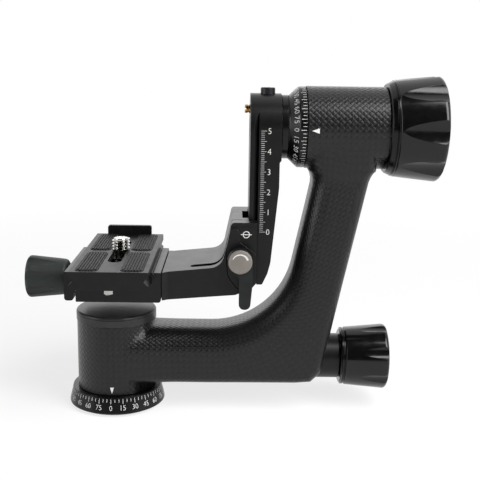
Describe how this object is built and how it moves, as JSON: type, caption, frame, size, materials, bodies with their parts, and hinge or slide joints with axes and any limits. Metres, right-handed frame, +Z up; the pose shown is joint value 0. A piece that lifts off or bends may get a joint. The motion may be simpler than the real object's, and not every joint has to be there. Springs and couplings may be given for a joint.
{
  "type": "gimbal tripod head",
  "caption": "Gimbal tripod head: panning base, L-shaped carbon arm, tilting swing plate with a height-adjustable dovetail clamp and plate, and fluted lock knobs.",
  "frame": {"origin": "centre of the base's underside, on the pan axis", "axes": "+Z up along the pan axis, +X towards the lock knobs along the tilt axis, -Y towards the graduated side"},
  "size_m": [0.2096, 0.0903, 0.1729],
  "materials": {
    "dial_black": "black anodised, satin",
    "steel": "turned steel",
    "bearing_steel": "ground bearing steel",
    "drum_steel": "turned steel, oiled",
    "carbon": "woven carbon fibre under clear resin",
    "sleeve_alloy": "machined, plain",
    "cap_black": "black anodised, fine bead blasted",
    "knob_black": "moulded, glossy black",
    "clamp_knob_green": "moulded, matt dark grey-green",
    "body_black": "black hard anodised",
    "brass": "turned brass",
    "screw_black": "black oxide",
    "lever_black": "black anodised",
    "lever_cap_grey": "warm grey, satin",
    "pin_steel": "ground dowel steel",
    "pad_rubber": "moulded rubber",
    "nickel": "bright nickel plate"
  },
  "bodies": {
    "base": {"base_dial": "dial_black", "thread_insert": "steel", "base_screws": "screw_black", "pan_spindle": "steel", "brake_drum": "drum_steel", "spindle_nut": "steel", "pan_inner_rings": "bearing_steel"},
    "arm": {"arm_shell": "carbon", "pan_housing": "sleeve_alloy", "pan_outer_rings": "bearing_steel", "cap_ring": "cap_black", "top_cap": "cap_black", "pan_boss": "body_black", "tilt_housing": "sleeve_alloy", "tilt_outer_rings": "bearing_steel"},
    "pan_lock": {"pan_knob": "knob_black", "pan_knob_collar": "body_black", "pan_knob_cap": "knob_black", "pan_lock_rod": "steel"},
    "shoe": {"brake_shoe": "brass"},
    "tilt_lock": {"tilt_knob": "knob_black", "tilt_knob_collar": "body_black", "tilt_knob_cap": "knob_black"},
    "thrust": {"thrust_ring": "brass"},
    "cradle": {"tilt_shaft": "steel", "tilt_inner_rings": "bearing_steel", "tilt_dial": "dial_black", "hub_neck": "body_black", "swing_plate": "body_black", "hub_screw": "screw_black", "shaft_screw": "screw_black", "stop_screws": "brass"},
    "carriage": {"carriage": "body_black", "clamp_body": "body_black", "clamp_bolts": "screw_black", "jaw_pins": "pin_steel"},
    "height_jaw": {"rail_jaw": "body_black"},
    "lever": {"cam_lever": "lever_black", "lever_cap": "lever_cap_grey", "lever_stud": "steel"},
    "clamp_jaw": {"movable_jaw": "body_black", "jaw_rods": "pin_steel"},
    "clamp_knob": {"qr_knob": "clamp_knob_green", "qr_knob_cap": "clamp_knob_green", "qr_screw": "screw_black"},
    "plate": {"qr_plate": "body_black", "rubber_pads": "pad_rubber", "plate_stops": "nickel"},
    "washer": {"screw_washer": "nickel"},
    "mount_screw": {"camera_screw": "nickel"}
  },
  "joints": [
    {"name": "pan", "type": "hinge", "parent": "base", "child": "arm", "pos_m": [0, 0, 0], "axis": [0, 0, 1], "continuous": true},
    {"name": "pan_lock_turn", "type": "hinge", "parent": "arm", "child": "pan_lock", "pos_m": [0.13, 0, 0.026], "axis": [1, 0, 0], "range_deg": [-137, 360]},
    {"name": "shoe_slide", "type": "slide", "parent": "arm", "child": "shoe", "axis": [1, 0, 0], "range_m": [-0.00047, 0.00125]},
    {"name": "tilt_lock_turn", "type": "hinge", "parent": "arm", "child": "tilt_lock", "pos_m": [0.14, 0, 0.14685], "axis": [1, 0, 0], "range_deg": [-80, 360]},
    {"name": "thrust_slide", "type": "slide", "parent": "arm", "child": "thrust", "axis": [1, 0, 0], "range_m": [-0.00033, 0.0015]},
    {"name": "tilt", "type": "hinge", "parent": "arm", "child": "cradle", "pos_m": [0.1, 0, 0.14685], "axis": [1, 0, 0], "continuous": true},
    {"name": "height", "type": "slide", "parent": "cradle", "child": "carriage", "axis": [0, 0, 1], "range_m": [0, 0.053]},
    {"name": "lever_turn", "type": "hinge", "parent": "height_jaw", "child": "lever", "pos_m": [0.0643, 0, 0.084], "axis": [0, 1, 0], "range_deg": [-90, 0]},
    {"name": "height_jaw_slide", "type": "slide", "parent": "carriage", "child": "height_jaw", "axis": [0, 1, 0], "range_m": [-0.00025, 0]},
    {"name": "clamp_jaw_slide", "type": "slide", "parent": "carriage", "child": "clamp_jaw", "axis": [-1, 0, 0], "range_m": [0, 0.003]},
    {"name": "clamp_knob_turn", "type": "hinge", "parent": "clamp_jaw", "child": "clamp_knob", "pos_m": [-0.03, 0, 0.0675], "axis": [-1, 0, 0], "range_deg": [0, 1080]},
    {"name": "plate_slide", "type": "slide", "parent": "carriage", "child": "plate", "axis": [0, 1, 0], "range_m": [-0.0145, 0.009]},
    {"name": "screw_slide", "type": "slide", "parent": "plate", "child": "washer", "axis": [0, 1, 0], "range_m": [-0.022, 0.014]},
    {"name": "screw_turn", "type": "hinge", "parent": "washer", "child": "mount_screw", "pos_m": [0.0019, 0.007, 0.08], "axis": [0, 0, 1], "continuous": true}
  ],
  "couplings": [
    {"joint": "pan_lock_turn", "follows": "shoe_slide", "rad_per_m": 5026.5},
    {"joint": "tilt_lock_turn", "follows": "thrust_slide", "rad_per_m": 4188.7},
    {"joint": "lever_turn", "follows": "height_jaw_slide", "rad_per_m": 6283},
    {"joint": "clamp_knob_turn", "follows": "clamp_jaw_slide", "rad_per_m": 6283.1}
  ]
}
